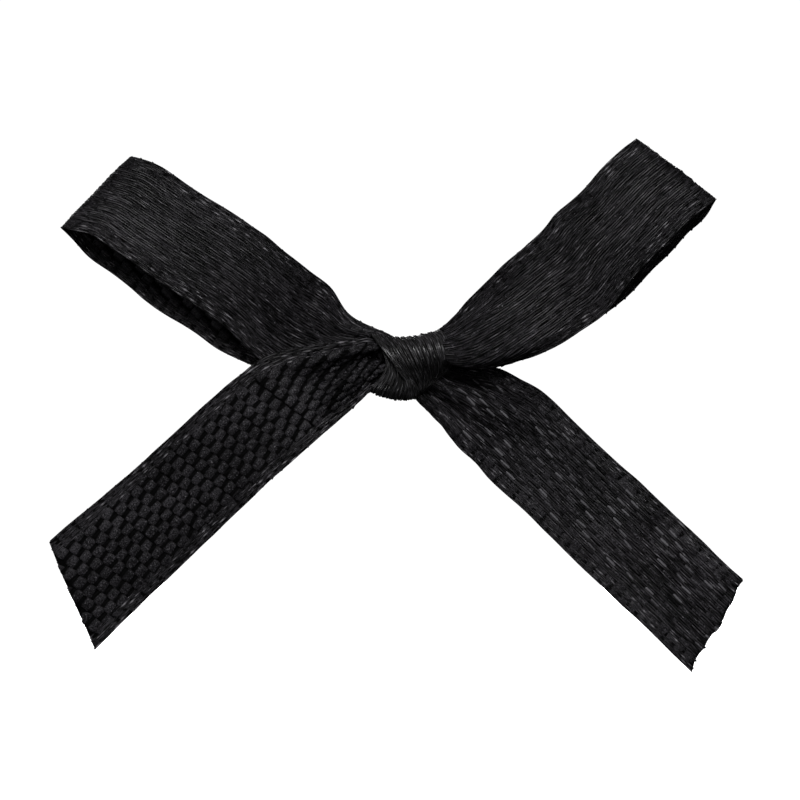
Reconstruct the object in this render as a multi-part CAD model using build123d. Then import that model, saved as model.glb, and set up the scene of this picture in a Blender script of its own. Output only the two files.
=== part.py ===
from build123d import *
import math
import os

# A small bow tied from one length of narrow black satin ribbon.
# Frame: millimetres, the bow upright as it is worn. +X to the wearer's left as seen
# from the front, +Z up, the front of the bow faces -Y. The origin is the centre of the
# flat back of the knot.  "f" below is the distance in front of that back, so Y = -f.

# ---------------------------------------------------------------- driving dimensions
ribbon_width = 6.0         # flat width of the ribbon between its two selvedges
ribbon_t = 0.30            # thickness given to one ply of ribbon
hinge_gap = 0.12           # clearance all round each flex knuckle

knot_tilt = 12.0           # degrees the wrap's axis rises towards +X
knot_centre = (-0.10, -0.10)
knot_centre_f = 2.30
wrap_half_height = 2.10
wrap_half_depth = 1.75
core_half_height = 1.15
core_half_depth = 1.20
back_pass_w = 3.6
back_pass_h = 3.0
back_pass_t = 1.3

# depth of the two leaves of each loop, measured across the fold line: (distance from fold, f)
left_fold_r = 0.85
left_fold_f = 1.90
left_front_f = [(0.85, 2.75), (2.5, 2.98), (5.5, 3.15), (9.0, 3.12), (12.5, 2.78), (15.2, 2.20), (18.5, 1.90)]
left_back_f = [(0.85, 1.05), (2.5, 0.82), (5.5, 0.66), (9.0, 0.66), (12.5, 0.86), (15.2, 1.28), (18.5, 1.50)]
right_fold_r = 0.75
right_fold_f = 2.65
right_front_f = [(0.75, 3.40), (2.5, 3.58), (5.5, 3.70), (9.0, 3.66), (12.5, 3.46), (15.0, 3.22), (18.5, 3.14)]
right_back_f = [(0.75, 1.90), (2.5, 1.74), (5.5, 1.66), (9.0, 1.74), (12.5, 2.08), (15.0, 2.46), (18.5, 2.56)]

# depth of the tails along their run: (distance from the flex line, f)
left_tail_f = [(-1.0, 3.20), (0.0, 3.22), (2.0, 3.42), (5.0, 3.78), (9.0, 3.62), (14.0, 3.12), (19.0, 2.82), (27.0, 2.70)]
right_tail_f = [(-1.0, 1.75), (0.0, 1.70), (2.0, 1.40), (5.0, 1.02), (9.0, 0.98), (14.0, 1.38), (19.0, 1.80), (28.0, 2.05)]

# flex lines at the four necks: point in the XZ plane, f, run direction, half width, knuckle radius
left_loop_flex = ((-2.95, 1.60), 1.70, (-0.857, 0.515), 0.80, 0.42)
right_loop_flex = ((2.85, 1.30), 2.85, (0.850, 0.527), 1.35, 0.46)
left_tail_flex = ((-3.30, -0.40), 3.22, (-0.957, -0.289), 1.25, 0.36)
right_tail_flex = ((1.95, -1.65), 1.70, (0.723, -0.691), 1.30, 0.36)


# ---------------------------------------------------------------- helpers
def v(x, f, z):
    return Vector(x, -f, z)


def outline_prism(edges):
    """A prism through the whole depth. edges is a closed chain of XZ point lists:
    two points make a line, more make a spline."""
    made = []
    for pts in edges:
        p = [Vector(x, 12, z) for x, z in pts]
        made.append(Edge.make_line(p[0], p[1]) if len(p) == 2 else Edge.make_spline(p))
    return extrude(Face(Wire(made)), amount=24, dir=Vector(0, -1, 0))


def offset_line(points, d, n=60):
    """Points at distance d beside a smooth line through (u, f) points."""
    line = Spline(*[Vector(u, f, 0) for u, f in points])
    out = []
    for i in range(len(points) * 3 - 2):
        t = i / (len(points) * 3 - 3)
        p, tan = line @ t, line % t
        out.append((p.X - tan.Y * d, p.Y + tan.X * d))
    return out


def plate(origin, u_dir, points, t, across):
    """A curved plate: the line through points (distance along u_dir, f), t thick,
    drawn out sideways, square to u_dir, to +-across."""
    ux, uz = u_dir
    top, bottom = offset_line(points, t / 2), offset_line(points, -t / 2)
    bx, bz = -uz, ux

    def at(u, f):
        return v(origin[0] + u * ux - across * bx, f, origin[1] + u * uz - across * bz)

    a = [at(*p) for p in top]
    b = [at(*p) for p in bottom]
    w = Wire([Edge.make_spline(a), Edge.make_line(a[-1], b[-1]),
              Edge.make_spline(b[::-1]), Edge.make_line(b[0], a[0])])
    return extrude(Face(w), amount=2 * across, dir=Vector(bx, 0, bz))


def flex_plane(flex):
    """Local frame on a flex line: x along the run, z along the flex axis."""
    (x, z), f, (ax, az), hw, r = flex
    n = math.hypot(ax, az)
    return Plane(origin=v(x, f, z), x_dir=Vector(ax / n, 0, az / n), z_dir=Vector(-az / n, 0, ax / n))


def knuckle(flex, extra=0.0, length=None):
    (x, z), f, a, hw, r = flex
    return flex_plane(flex) * Cylinder(r + extra, length or 2 * hw)


def neck(flex, back, others):
    """The gathered stretch between the knot and a flex line, ending in a round knuckle."""
    (x, z), f, a, hw, r = flex
    body = flex_plane(flex) * Pos(-back / 2, 0, 0) * Box(back, 2 * r, 2 * hw)
    body = body + knuckle(flex)
    for o in others:
        body = body - o
    px = flex_plane(flex).origin
    return min(body.solids(), key=lambda s: (s.center() - px).length)


def run(shape, flex):
    """Trims a free run so that it clears its knuckle, and keeps the outer part."""
    body = shape - knuckle(flex, hinge_gap, 30)
    return max(body.solids(), key=lambda s: s.volume)


# ---------------------------------------------------------------- knot
e = Vector(math.cos(math.radians(knot_tilt)), 0, math.sin(math.radians(knot_tilt)))
k0 = v(knot_centre[0], knot_centre_f, knot_centre[1])
wrap_plane = Plane(origin=k0 - e * 4, x_dir=Vector(0, -1, 0), z_dir=e)

wrap_outline = [
    [(-2.45, 2.02), (-1.90, 1.76), (-1.30, 1.60), (-0.50, 1.68), (0.60, 1.86), (1.10, 2.08), (1.66, 2.12)],
    [(1.66, 2.12), (1.92, 1.50), (2.12, 0.90), (2.32, 0.10)],
    [(2.32, 0.10), (1.50, -0.62), (0.80, -1.18), (0.40, -1.60), (0.26, -2.18)],
    [(0.26, -2.18), (-0.50, -2.08), (-1.20, -2.14), (-1.90, -2.02), (-2.52, -1.60)],
    [(-2.52, -1.60), (-2.05, -0.90), (-1.72, -0.06), (-2.05, 1.05), (-2.45, 2.02)],
]
wrap_solid = extrude(wrap_plane * Ellipse(wrap_half_depth, wrap_half_height), amount=8)
hollow = extrude(wrap_plane * Ellipse(core_half_depth, core_half_height), amount=8)
wrap_prism = outline_prism(wrap_outline)
knot_band = (wrap_solid & wrap_prism) - hollow
knot_band = max(knot_band.solids(), key=lambda s: s.volume)

core_clear = 0.02
knot_core = extrude(wrap_plane * Ellipse(core_half_depth - core_clear, core_half_height - core_clear), amount=8) & wrap_prism
knot_core = max(knot_core.solids(), key=lambda s: s.volume)

back_plane = Plane(origin=Vector(0, 0, 0), x_dir=Vector(1, 0, 0), z_dir=Vector(0, -1, 0))
knot_back_pass = extrude(back_plane * RectangleRounded(back_pass_w, back_pass_h, 1.1), amount=back_pass_t)
wrap_room = extrude(wrap_plane * Ellipse(wrap_half_depth + core_clear, wrap_half_height + core_clear), amount=8)
knot_back_pass = max((knot_back_pass - wrap_room).solids(), key=lambda s: s.volume)

knot_mass = [knot_band, knot_core, knot_back_pass]
left_loop_neck = neck(left_loop_flex, 1.9, knot_mass)
right_loop_neck = neck(right_loop_flex, 1.9, knot_mass)
left_tail_neck = neck(left_tail_flex, 1.9, knot_mass + [left_loop_neck])
right_tail_neck = neck(right_tail_flex, 2.1, knot_mass + [right_loop_neck])

# ---------------------------------------------------------------- left loop
lf_top, lf_bottom = (-16.64, 12.20), (-20.78, 7.96)
gl = math.hypot(lf_bottom[0] - lf_top[0], lf_bottom[1] - lf_top[1])
g = ((lf_bottom[0] - lf_top[0]) / gl, (lf_bottom[1] - lf_top[1]) / gl)
h = (-g[1], g[0])                      # from the fold line towards the knot
seam = left_fold_r
s_top = (lf_top[0] + h[0] * seam, lf_top[1] + h[1] * seam)
s_bottom = (lf_bottom[0] + h[0] * seam, lf_bottom[1] + h[1] * seam)

left_front_outline = [
    [s_top, (-13.79, 10.86), (-12.31, 9.89), (-10.06, 8.52), (-8.52, 7.40), (-7.04, 6.22), (-5.68, 5.12), (-4.44, 3.92), (-3.26, 2.49)],
    [(-3.26, 2.49), (-3.90, 0.70)],
    [(-3.90, 0.70), (-6.20, 0.25), (-8.40, 0.30), (-9.89, 1.07), (-12.91, 3.40), (-15.60, 5.30), (-17.88, 6.75), s_bottom],
    [s_bottom, s_top],
]
left_back_outline = [
    [s_top, (-14.40, 10.10), (-12.80, 8.85), (-10.60, 7.30), (-8.00, 5.35), (-6.10, 3.95), (-4.80, 2.95), (-3.50, 2.10)],
    [(-3.50, 2.10), (-3.90, 0.70)],
    [(-3.90, 0.70), (-6.00, -0.20), (-8.20, -0.50), (-9.83, 0.00), (-11.84, 0.95), (-14.74, 2.90), (-16.99, 4.62), (-19.12, 6.20), s_bottom],
    [s_bottom, s_top],
]
fold_pts = [v(lf_top[0], 0, lf_top[1])]


def fold_ring(top, u_dir, r, f0, length):
    """Half a tube round the fold line: outer edge on the line, open towards the knot."""
    bx, bz = -u_dir[1], u_dir[0]
    centre = v(top[0] + u_dir[0] * r - bx * 6, f0, top[1] + u_dir[1] * r - bz * 6)
    pl = Plane(origin=centre, x_dir=Vector(u_dir[0], 0, u_dir[1]), z_dir=Vector(bx, 0, bz))
    # r is measured to the outside of the ribbon, so the ring reaches just to the fold line
    ring = Circle(r) - Circle(r - ribbon_t)
    ring = ring & Pos(-5, 0) * Rectangle(10, 10)
    return extrude(pl * ring, amount=length + 12)


def thin(points, r, f0):
    """Leaf depths, with their first point set on the ring's own mid-line."""
    side = 1 if points[0][1] > f0 else -1
    return [(r, f0 + side * (r - ribbon_t / 2))] + points[1:]


left_fold = fold_ring(lf_top, h, left_fold_r, left_fold_f, gl)
left_fold = left_fold & outline_prism([[lf_top, lf_bottom], [lf_bottom, s_bottom], [s_bottom, s_top], [s_top, lf_top]])
left_fold = max(left_fold.solids(), key=lambda s: s.volume)
left_front = plate(lf_top, h, thin(left_front_f, left_fold_r, left_fold_f), ribbon_t, 16)
left_back = plate(lf_top, h, thin(left_back_f, left_fold_r, left_fold_f), ribbon_t, 16)
left_front = run(left_front & outline_prism(left_front_outline), left_loop_flex)
left_back = run(left_back & outline_prism(left_back_outline), left_loop_flex)

# ---------------------------------------------------------------- right loop
rf_top, rf_bottom = (13.20, 13.20), (17.94, 9.60)
gr = math.hypot(rf_bottom[0] - rf_top[0], rf_bottom[1] - rf_top[1])
q = ((rf_bottom[0] - rf_top[0]) / gr, (rf_bottom[1] - rf_top[1]) / gr)
k = (q[1], -q[0])                      # from the fold line towards the knot
seam = right_fold_r
t_top = (rf_top[0] + k[0] * seam, rf_top[1] + k[1] * seam)
t_bottom = (rf_bottom[0] + k[0] * seam, rf_bottom[1] + k[1] * seam)

right_front_outline = [
    [t_top, (11.07, 11.30), (10.18, 10.30), (9.00, 9.20), (7.93, 8.05), (6.87, 7.08), (5.68, 6.02), (4.44, 4.85), (3.26, 3.62), (2.60, 2.70)],
    [(2.60, 2.70), (3.55, -0.20)],
    [(3.55, -0.20), (5.33, 0.02), (6.25, 0.36), (7.35, 0.80), (8.60, 1.50), (9.70, 2.25), (12.30, 4.55), (15.30, 7.50), t_bottom],
    [t_bottom, t_top],
]
right_back_outline = [
    [t_top, (10.20, 9.55), (8.00, 7.25), (5.50, 4.95), (3.60, 3.10), (2.90, 2.30)],
    [(2.90, 2.30), (3.55, -0.20)],
    [(3.55, -0.20), (5.33, -0.10), (6.28, 0.16), (7.46, 0.50), (8.82, 1.14), (10.00, 1.88), (11.37, 2.75), (12.91, 4.10), (14.39, 5.66), (16.52, 7.80), t_bottom],
    [t_bottom, t_top],
]
right_fold = fold_ring(rf_top, k, right_fold_r, right_fold_f, gr)
right_fold = fold_ring(rf_bottom, k, right_fold_r, right_fold_f, gr)
right_fold = right_fold & outline_prism([[rf_top, rf_bottom], [rf_bottom, t_bottom], [t_bottom, t_top], [t_top, rf_top]])
right_fold = max(right_fold.solids(), key=lambda s: s.volume)
right_front = plate(rf_top, k, thin(right_front_f, right_fold_r, right_fold_f), ribbon_t, 16)
right_back = plate(rf_top, k, thin(right_back_f, right_fold_r, right_fold_f), ribbon_t, 16)
right_front = run(right_front & outline_prism(right_front_outline), right_loop_flex)
right_back = run(right_back & outline_prism(right_back_outline), right_loop_flex)

# ---------------------------------------------------------------- tails
left_tail_outline = [
    [(-3.65, 0.95), (-4.60, 1.16), (-6.33, 1.01), (-8.11, 0.62), (-9.30, 0.00), (-10.54, -1.01), (-13.56, -3.73), (-16.58, -6.45), (-19.60, -9.00), (-21.43, -10.54)],
    [(-21.43, -10.54), (-18.71, -16.87)],
    [(-18.71, -16.87), (-16.58, -14.68), (-13.56, -11.84), (-11.60, -9.95), (-9.00, -7.46), (-5.98, -4.74), (-3.90, -2.95), (-2.95, -1.70)],
    [(-2.95, -1.70), (-3.65, 0.95)],
]
right_tail_outline = [
    [(3.05, -0.75), (4.40, -0.62), (5.51, -0.72), (6.57, -1.12), (7.76, -1.78), (9.00, -2.92), (10.95, -4.82), (13.20, -6.87), (16.22, -9.71), (19.65, -12.96)],
    [(19.65, -12.96), (18.35, -14.98), (17.40, -16.50), (16.52, -18.23)],
    [(16.52, -18.23), (13.20, -14.98), (10.95, -12.91), (8.70, -10.72), (6.57, -8.64), (4.44, -6.75), (2.60, -4.85), (1.72, -3.67), (0.95, -2.80)],
    [(0.95, -2.80), (3.05, -0.75)],
]


def tail(flex, depths, outline):
    (x, z), f, (ax, az), hw, r = flex
    n = math.hypot(ax, az)
    return run(plate((x, z), (ax / n, az / n), depths, ribbon_t, 16) & outline_prism(outline), flex)


left_tail = tail(left_tail_flex, left_tail_f, left_tail_outline)
right_tail = tail(right_tail_flex, right_tail_f, right_tail_outline)

# ---------------------------------------------------------------- write
nodes = {
    "knot_band": knot_band,
    "knot_core": knot_core,
    "knot_back_pass": knot_back_pass,
    "left_loop_neck": left_loop_neck,
    "right_loop_neck": right_loop_neck,
    "left_tail_neck": left_tail_neck,
    "right_tail_neck": right_tail_neck,
    "left_loop_front_leaf": left_front,
    "left_loop_end_fold": left_fold,
    "left_loop_back_leaf": left_back,
    "right_loop_front_leaf": right_front,
    "right_loop_end_fold": right_fold,
    "right_loop_back_leaf": right_back,
    "left_tail": left_tail,
    "right_tail": right_tail,
}
os.makedirs("parts", exist_ok=True)
for name, shape in nodes.items():
    export_step(shape, f"parts/{name}.step")
    b = shape.bounding_box()
    print(f"{name:24s} {shape.volume:8.3f} mm3  {b.min}  {b.max}")
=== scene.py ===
import math

import bpy
import numpy as np
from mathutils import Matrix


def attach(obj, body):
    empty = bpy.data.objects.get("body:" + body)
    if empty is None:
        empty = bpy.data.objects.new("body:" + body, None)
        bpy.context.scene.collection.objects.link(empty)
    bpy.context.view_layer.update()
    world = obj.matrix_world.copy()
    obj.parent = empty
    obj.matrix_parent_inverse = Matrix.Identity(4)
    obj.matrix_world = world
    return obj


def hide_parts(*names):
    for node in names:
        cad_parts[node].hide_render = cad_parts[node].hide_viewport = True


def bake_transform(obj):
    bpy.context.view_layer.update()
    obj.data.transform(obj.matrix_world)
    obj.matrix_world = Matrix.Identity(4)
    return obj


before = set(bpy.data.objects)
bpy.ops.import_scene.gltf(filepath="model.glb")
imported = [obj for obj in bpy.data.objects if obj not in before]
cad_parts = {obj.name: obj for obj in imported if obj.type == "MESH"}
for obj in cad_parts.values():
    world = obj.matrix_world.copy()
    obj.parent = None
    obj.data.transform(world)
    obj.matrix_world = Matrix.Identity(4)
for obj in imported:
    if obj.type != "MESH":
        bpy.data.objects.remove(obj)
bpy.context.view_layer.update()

# =====================================================================
# Sizes, in millimetres. Points are (x, z) in the frame's front plane with
# f, the distance in front of the knot's flat back, so Blender's y is -f.
# The outlines repeat those of the CAD runs.
# =====================================================================
RIBBON_W = 6.0          # flat width
BODY_ENDS = 31          # warp ends between the selvedges
SELV_ENDS = 8           # finer ends in each selvedge
SELV_W = 0.80           # width of a selvedge
PICK = 0.716            # spacing of the double picks
WEFT_HALF = 0.372       # half width of a double pick along the warp
DASH = 0.040            # how far a pick stands up where it covers one end on the face
DIP = 0.080             # how far an end drops where it is bound
GAP = 0.205             # half width of the hollow beside each brick on the reverse
SEED = 4107


def spline(values, knots, at):
    """Smooth interpolation through values at knots (Catmull-Rom with uneven knots)."""
    values, knots = np.asarray(values, float), np.asarray(knots, float)
    flat = values.reshape(len(knots), -1)
    h = np.diff(knots)
    slope = np.diff(flat, axis=0) / h[:, None]
    tan = np.empty_like(flat)
    tan[1:-1] = (slope[:-1] * h[1:, None] + slope[1:] * h[:-1, None]) / (h[:-1] + h[1:])[:, None]
    tan[0], tan[-1] = slope[0], slope[-1]
    at = np.clip(np.asarray(at, float), knots[0], knots[-1])
    i = np.clip(np.searchsorted(knots, at, "right") - 1, 0, len(knots) - 2)
    t = ((at - knots[i]) / h[i])[:, None]
    hh = h[i][:, None]
    out = ((2 * t**3 - 3 * t**2 + 1) * flat[i] + (t**3 - 2 * t**2 + t) * hh * tan[i]
           + (-2 * t**3 + 3 * t**2) * flat[i + 1] + (t**3 - t**2) * hh * tan[i + 1])
    return out.reshape((len(at),) + values.shape[1:])


def unit(a):
    return a / np.maximum(np.linalg.norm(a, axis=-1, keepdims=True), 1e-12)


def lengths(p):
    return np.concatenate([[0], np.cumsum(np.linalg.norm(np.diff(p, axis=0), axis=1))])


def edge(points, n, soft=3):
    """An outline evenly resampled to n points, gently smoothed, its ends kept."""
    p = np.asarray(points, float)
    k = lengths(p)
    q = spline(p, k, np.linspace(0, k[-1], 240))
    for _ in range(soft * 4):
        q[1:-1] = 0.25 * q[:-2] + 0.5 * q[1:-1] + 0.25 * q[2:]
    k = lengths(q)
    return np.stack([np.interp(np.linspace(0, k[-1], n), k, q[:, c]) for c in range(q.shape[1])], axis=1)


def table(pairs, at):
    k = [p[0] for p in pairs]
    return spline([[p[1]] for p in pairs], k, at)[:, 0]


def smooth_noise(seed, n_u, n_v, size_u, size_v, octaves=2):
    """Soft repeatable noise on an n_u by n_v grid, about -1 to 1, features size_u by size_v cells."""
    rng = np.random.default_rng(seed)
    total, weight = np.zeros((n_u, n_v)), 0.0
    for o in range(octaves):
        su, sv = max(size_u / 2**o, 1.5), max(size_v / 2**o, 1.5)
        cu, cv = int(n_u / su) + 4, int(n_v / sv) + 4
        g = rng.uniform(-1, 1, (cu, cv))

        def mix(grid, x):
            i = np.floor(x).astype(int)
            t = x - i
            t = t * t * (3 - 2 * t)
            return grid[i] * (1 - t)[:, None] + grid[i + 1] * t[:, None]

        a = mix(g, np.arange(n_u) / su + 1)
        total += mix(a.T, np.arange(n_v) / sv + 1).T / 2**o
        weight += 1 / 2**o
    return total / weight


# ---------------------------------------------------------------- surfaces
class Sheet:
    """A ribbon run between two edge curves A and B (rows of x, z, f). W gives, row by row, how much
    of each fold profile there is. Material coordinates: s along the warp in mm, v 0 to 1 across."""

    def __init__(self, A, B, W, profiles, ref, face_dir, cap, width=RIBBON_W, n=420, nv=97, seed=1, rough=0.03, skew=0.0, lift=None):
        A, B, W = (np.asarray(q, float) for q in (A, B, W))
        A, B = A[:, [0, 2, 1]], B[:, [0, 2, 1]]           # x, f, z
        step = 0.5 * (np.diff(lengths(A)) + np.diff(lengths(B)))
        knots = np.concatenate([[0], np.cumsum(np.maximum(step, 0.03))])
        at = np.linspace(0, knots[-1], n)
        a, b, wts = spline(A, knots, at), spline(B, knots, at), spline(W, knots, at)
        rise = None if lift is None else spline(np.asarray(lift, float)[:, [0, 2, 1]], knots, at)
        x = np.linspace(0, 1, 181)
        forms = np.array([p(x) for p in profiles])
        forms = forms - (1 - x)[None] * forms[:, :1] - x[None] * forms[:, -1:]
        c = b - a
        clen = np.linalg.norm(c, axis=1)
        tan = unit(np.gradient((a + b) / 2, axis=0))
        nrm = unit(np.cross(tan, c))
        r = int(round(ref * (n - 1)))
        face = np.array([face_dir[0], face_dir[2], face_dir[1]], float)
        if np.dot(nrm[r], face) < 0:
            nrm = -nrm
        lam = np.linspace(0, 1, nv)
        grid = np.empty((n, nv, 3))
        for i in range(n):
            d = wts[i] @ forms
            k = 0.0
            if np.abs(d).max() > 1e-3 and clen[i] < width:
                lo, hi = 0.0, cap / np.abs(d).max()
                for _ in range(24):
                    k = (lo + hi) / 2
                    L = np.hypot(np.diff(x) * clen[i], np.diff(d) * k).sum()
                    lo, hi = (k, hi) if L < width else (lo, k)
                k *= min(1.0, np.abs(wts[i]).sum())
            line = a[i] + np.outer(x, c[i]) + np.outer(d * k, nrm[i])
            if rise is not None:
                line = line + np.outer(np.sin(np.pi * x), rise[i])
            seg = lengths(line)
            seg /= seg[-1]
            for q in range(3):
                grid[i, :, q] = np.interp(lam, seg, line[:, q])
        for _ in range(8):                                 # so that changing folds flow
            grid[1:-1] = 0.25 * grid[:-2] + 0.5 * grid[1:-1] + 0.25 * grid[2:]
        nn = unit(np.cross(np.gradient(grid, axis=0), np.gradient(grid, axis=1)))
        if np.dot(nn[r, nv // 2], face) < 0:
            nn = -nn
        grid = grid + nn * (smooth_noise(seed, n, nv, 26, 26, 2) * rough)[..., None]
        arc = np.concatenate([np.zeros((1, nv)), np.cumsum(np.linalg.norm(np.diff(grid, axis=0), axis=2), axis=0)])
        arc = arc - arc[r] + skew * (lam - 0.5)[None]
        self.arc_lo, self.arc_hi = arc[0], arc[-1]
        self.lo, self.hi, self.ds = arc[0].min(), arc[-1].max(), 0.05
        self.s = np.arange(self.lo, self.hi + self.ds, self.ds)
        N0 = unit(np.cross(np.gradient(grid, axis=0), np.gradient(grid, axis=1)))
        if np.dot(N0[r, nv // 2], face) < 0:
            N0 = -N0
        G, N = np.empty((len(self.s), nv, 3)), np.empty((len(self.s), nv, 3))
        for j in range(nv):
            for q in range(3):
                G[:, j, q] = np.interp(self.s, arc[:, j], grid[:, j, q])
                N[:, j, q] = np.interp(self.s, arc[:, j], N0[:, j, q])
        self.G, self.N, self.nv = G, unit(N), nv

    def at(self, s, v):
        fs = np.clip((np.asarray(s, float) - self.lo) / self.ds, 0, len(self.s) - 1.001)
        fv = np.clip(np.asarray(v, float) * (self.nv - 1), 0, self.nv - 1.001)
        i, j = fs.astype(int), fv.astype(int)
        ts, tv = (fs - i)[..., None], (fv - j)[..., None]

        def pick(F):
            return ((F[i, j] * (1 - tv) + F[i, j + 1] * tv) * (1 - ts)
                    + (F[i + 1, j] * (1 - tv) + F[i + 1, j + 1] * tv) * ts)

        return pick(self.G), unit(pick(self.N))

    def limits(self, v):
        q = np.asarray(v, float) * (self.nv - 1)
        k = np.arange(self.nv)
        return np.interp(q, k, self.arc_lo), np.interp(q, k, self.arc_hi)


# ---------------------------------------------------------------- meshes
class Builder:
    def __init__(self):
        self.v, self.f, self.att, self.mk, self.n = [], [], [], [], 0

    def tube(self, centre, normal, a, b, sides=8, tag=0.0, power=1.0, rough=None, mark=(0.0, 0.0), flank_shade=0.0):
        """A closed yarn along centre, half width a and half thickness b along normal. rough is a
        random generator and a height: the surface is as uneven as a bundle of filaments. The two values per point, for
        the face side and the reverse side, are painted into the colour: 1 is painted shade in a hollow, -1 a painted
        highlight where the yarn catches the light. The last amount paints shade on the sides, which face the
        neighbouring yarns."""
        n = len(centre)
        if n < 3:
            return
        t = unit(np.gradient(centre, axis=0))
        u = unit(np.cross(normal, t))
        w = np.cross(t, u)
        a, b = np.broadcast_to(a, (n,)), np.broadcast_to(b, (n,))
        ang = 2 * np.pi * (np.arange(sides) + 0.5) / sides
        ca, sa = np.cos(ang), np.sin(ang)
        ca, sa = np.sign(ca) * np.abs(ca) ** power, np.sign(sa) * np.abs(sa) ** power
        swell = np.ones((n, sides))
        if rough is not None:
            lump = rough[0].normal(0, 1, (n, sides))
            lump = 0.25 * np.roll(lump, 1, 0) + 0.5 * lump + 0.25 * np.roll(lump, -1, 0)
            swell = 1 + rough[1] * lump
        ring = (centre[:, None] + u[:, None] * (a[:, None] * ca[None] * swell)[..., None]
                + w[:, None] * (b[:, None] * sa[None] * swell)[..., None])
        ends = np.stack([centre[0] - t[0] * b[0] * 0.4, centre[-1] + t[-1] * b[-1] * 0.4])
        idx = self.n + np.arange(n * sides).reshape(n, sides)
        nxt = np.roll(idx, -1, axis=1)
        quads = np.stack([idx[:-1], nxt[:-1], nxt[1:], idx[1:]], axis=-1).reshape(-1, 4)
        none = np.full(sides, -1)
        cap0 = np.stack([nxt[0], idx[0], np.full(sides, self.n + n * sides), none], axis=-1)
        cap1 = np.stack([idx[-1], nxt[-1], np.full(sides, self.n + n * sides + 1), none], axis=-1)
        self.v += [ring.reshape(-1, 3), ends]
        self.f += [quads, cap0, cap1]
        along = lengths(centre)
        att = np.empty((n, sides, 3))
        att[..., 0], att[..., 1], att[..., 2] = along[:, None], ang[None], tag
        self.att += [att.reshape(-1, 3), np.array([[along[0], 0, tag], [along[-1], 0, tag]])]
        # painted shade and highlight per vertex: the face value on the upper half of the yarn, the reverse value on the
        # lower half
        side = np.clip(0.5 + 0.9 * sa, 0, 1)[None]
        mk = (np.broadcast_to(mark[0], (n,))[:, None] * side + np.broadcast_to(mark[1], (n,))[:, None] * (1 - side))
        # painted shade on the yarn's sides, where the neighbouring yarns shade them
        mk = mk + flank_shade * np.clip(1 - 1.08 * np.abs(sa), 0, 1)[None] * np.clip(1 + mk, 0, 1)
        self.mk += [mk.reshape(-1), np.array([mk[0].mean(), mk[-1].mean()])]
        self.n += n * sides + 2

    def shell(self, top, bottom):
        """A thin closed sheet between two grids of points."""
        n, m = top.shape[:2]
        i0 = self.n + np.arange(n * m).reshape(n, m)
        i1 = i0 + n * m

        def quads(i):
            return np.stack([i[:-1, :-1], i[1:, :-1], i[1:, 1:], i[:-1, 1:]], axis=-1).reshape(-1, 4)

        rim0 = np.concatenate([i0[:, 0], i0[-1, 1:], i0[-2::-1, -1], i0[0, -2:0:-1]])
        rim1 = rim0 + n * m
        r0, r1 = np.roll(rim0, -1), np.roll(rim1, -1)
        self.v += [top.reshape(-1, 3), bottom.reshape(-1, 3)]
        self.f += [quads(i0)[:, ::-1], quads(i1), np.stack([rim0, r0, r1, rim1], axis=-1)]
        g = np.stack(np.meshgrid(np.arange(n) * 0.1, np.arange(m) * 0.1, indexing="ij") + [np.zeros((n, m))], axis=-1)
        self.att += [g.reshape(-1, 3), g.reshape(-1, 3)]
        self.mk += [np.zeros(2 * n * m)]
        self.n += 2 * n * m

    def object(self, name, material):
        v, f, att = np.concatenate(self.v), np.concatenate(self.f), np.concatenate(self.att)
        v = np.stack([v[:, 0], -v[:, 1], v[:, 2]], axis=1) * 0.001
        counts = np.where(f[:, 3] < 0, 3, 4)
        loops = f.reshape(-1)
        loops = loops[loops >= 0]
        starts = np.concatenate([[0], np.cumsum(counts)[:-1]])
        me = bpy.data.meshes.new(name)
        me.vertices.add(len(v))
        me.vertices.foreach_set("co", v.astype(np.float32).ravel())
        me.loops.add(len(loops))
        me.loops.foreach_set("vertex_index", loops.astype(np.int32))
        me.polygons.add(len(counts))
        me.polygons.foreach_set("loop_start", starts.astype(np.int32))
        me.polygons.foreach_set("loop_total", counts.astype(np.int32))
        me.polygons.foreach_set("use_smooth", np.ones(len(counts), bool))
        me.update(calc_edges=True)
        me.validate()
        at = me.attributes.new("yarn", "FLOAT_VECTOR", "POINT")
        at.data.foreach_set("vector", att.astype(np.float32).ravel())
        at = me.attributes.new("mark", "FLOAT", "POINT")
        at.data.foreach_set("value", np.concatenate(self.mk).astype(np.float32))
        ob = bpy.data.objects.new(name, me)
        bpy.context.scene.collection.objects.link(ob)
        me.materials.append(material)
        print("piece", name, len(v), "vertices", len(f), "faces")
        return ob


# ---------------------------------------------------------------- weave
def end_places():
    """Where each warp end lies across the ribbon, 0 to 1, its half width in mm, and its satin number
    (None in a selvedge)."""
    out = []
    e = 0.045
    sp = (SELV_W - e) / (SELV_ENDS - 0.5)
    for i in range(SELV_ENDS):
        out.append(((e + i * sp) / RIBBON_W, sp * 0.56, None))
    inner = RIBBON_W - 2 * SELV_W
    bp = inner / BODY_ENDS
    for i in range(BODY_ENDS):
        out.append(((SELV_W + (i + 0.5) * bp) / RIBBON_W, bp * 0.56, i))
    for i in reversed(range(SELV_ENDS)):
        out.append((1 - (e + i * sp) / RIBBON_W, sp * 0.56, None))
    return out, bp


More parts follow.
